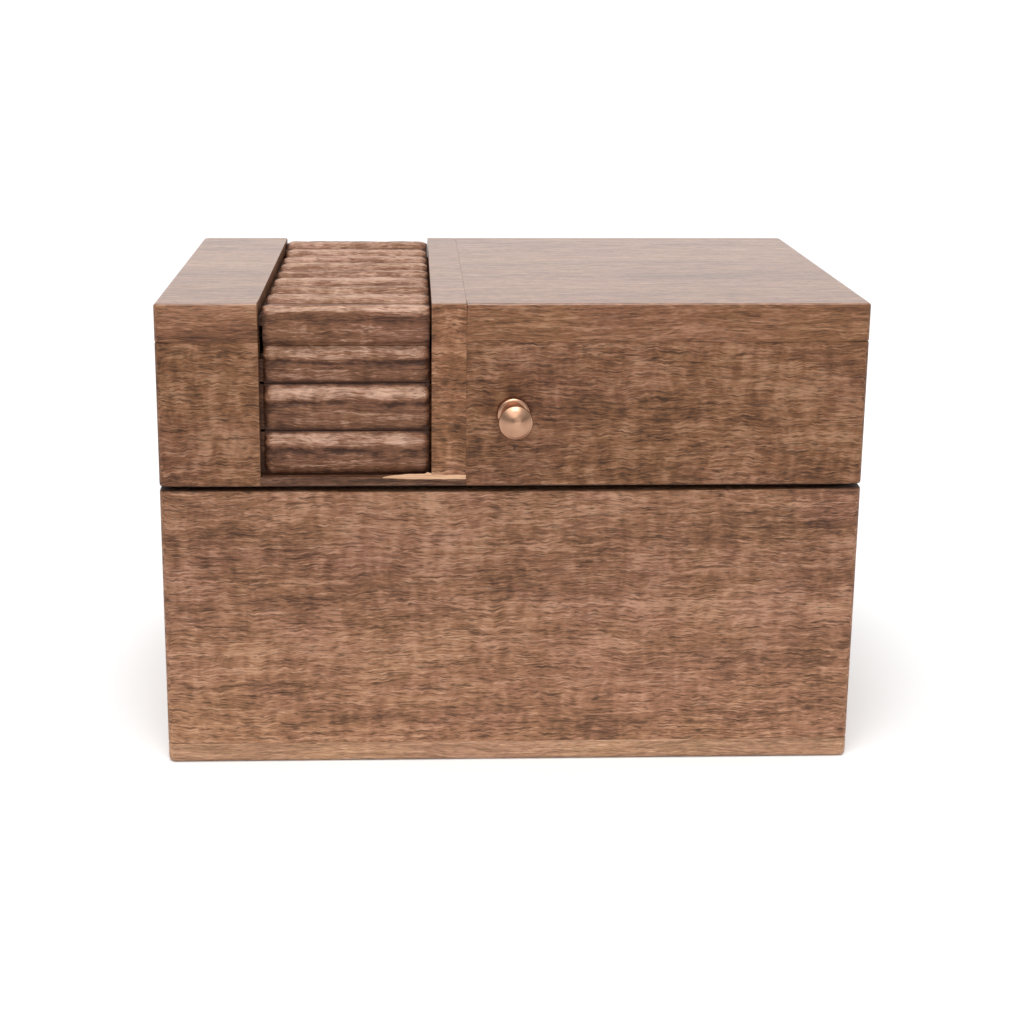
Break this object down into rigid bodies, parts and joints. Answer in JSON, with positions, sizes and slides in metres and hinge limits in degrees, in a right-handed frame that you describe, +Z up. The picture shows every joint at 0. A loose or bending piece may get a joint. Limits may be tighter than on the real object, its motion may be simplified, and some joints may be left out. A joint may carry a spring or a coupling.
{
  "type": "wooden puzzle box",
  "caption": "Hinged wooden box with a band of tambour slats over its lid, a brass pull knob and a hidden sliding bolt behind the lowest front slat.",
  "frame": {"origin": "centre of the underside, on the face that the box rests on", "axes": "+X to the right as seen from the front, +Y to the back, +Z up"},
  "size_m": [0.2, 0.1312, 0.137],
  "materials": {
    "brown_wood": "satin lacquer over open-pored brown hardwood",
    "slat_wood": "satin, dark stain left in the grooves",
    "inner_wood": "raw sanded",
    "canvas": "plain woven cotton",
    "turned_brass": "fine-turned, lightly lacquered",
    "brass_sheet": "brushed sheet",
    "brass_screw": "plain turned",
    "steel": "bright drawn"
  },
  "bodies": {
    "base": {"base_bottom": "brown_wood", "base_front": "brown_wood", "base_back": "brown_wood", "base_left": "brown_wood", "base_right": "brown_wood", "hinge_leaf_base_left": "brass_sheet", "hinge_leaf_base_right": "brass_sheet", "hinge_pin_left": "steel", "hinge_pin_right": "steel", "hinge_screws_base": "brass_screw", "bolt_keeper": "brass_sheet", "keeper_screws": "brass_screw"},
    "lid": {"lid_top_left": "brown_wood", "lid_top_right": "brown_wood", "lid_front_left": "brown_wood", "lid_front_right": "brown_wood", "lid_side_left": "brown_wood", "lid_side_right": "brown_wood", "lid_back": "brown_wood", "guide_strip_front": "brown_wood", "guide_strip_top": "brown_wood", "lane_rail": "brown_wood", "lane_back_panel": "inner_wood", "lane_floor": "inner_wood", "back_lane_housing": "inner_wood", "hinge_leaf_lid_left": "brass_sheet", "hinge_leaf_lid_right": "brass_sheet", "hinge_screws_lid": "brass_screw", "knob_rosette": "turned_brass", "knob_head": "turned_brass", "knob_screw": "steel", "bolt_cover": "brass_sheet", "bolt_cover_screws": "brass_screw", "bolt_guide_left": "inner_wood", "bolt_guide_right": "inner_wood"},
    "top_band": {"corner_slat": "slat_wood", "top_slat_1": "slat_wood", "top_slat_2": "slat_wood", "top_slat_3": "slat_wood", "top_slat_4": "slat_wood", "top_slat_5": "slat_wood", "top_slat_6": "slat_wood", "top_slat_7": "slat_wood", "top_canvas": "canvas"},
    "front_band": {"front_slat_1": "slat_wood", "front_slat_2": "slat_wood", "front_slat_3": "slat_wood", "front_canvas": "canvas"},
    "back_band": {"back_slat_1": "slat_wood", "back_slat_2": "slat_wood", "back_canvas": "canvas"},
    "bolt": {"bolt_rod": "steel", "bolt_button": "turned_brass"}
  },
  "joints": [
    {"name": "lid_hinge", "type": "hinge", "parent": "base", "child": "lid", "pos_m": [0, 0.0568, 0.0838], "axis": [-1, 0, 0], "range_deg": [0, 100]},
    {"name": "band_slide", "type": "slide", "parent": "lid", "child": "top_band", "axis": [0, 1, 0], "range_m": [0, 0.01]},
    {"name": "front_band_rise", "type": "slide", "parent": "lid", "child": "front_band", "axis": [0, 0, 1], "range_m": [0, 0.01]},
    {"name": "back_band_drop", "type": "slide", "parent": "lid", "child": "back_band", "axis": [0, 0, -1], "range_m": [0, 0.01]},
    {"name": "bolt_slide", "type": "slide", "parent": "lid", "child": "bolt", "axis": [1, 0, 0], "range_m": [0, 0.01]}
  ],
  "couplings": [
    {"joint": "front_band_rise", "follows": "band_slide", "ratio": 1},
    {"joint": "back_band_drop", "follows": "band_slide", "ratio": 1}
  ]
}
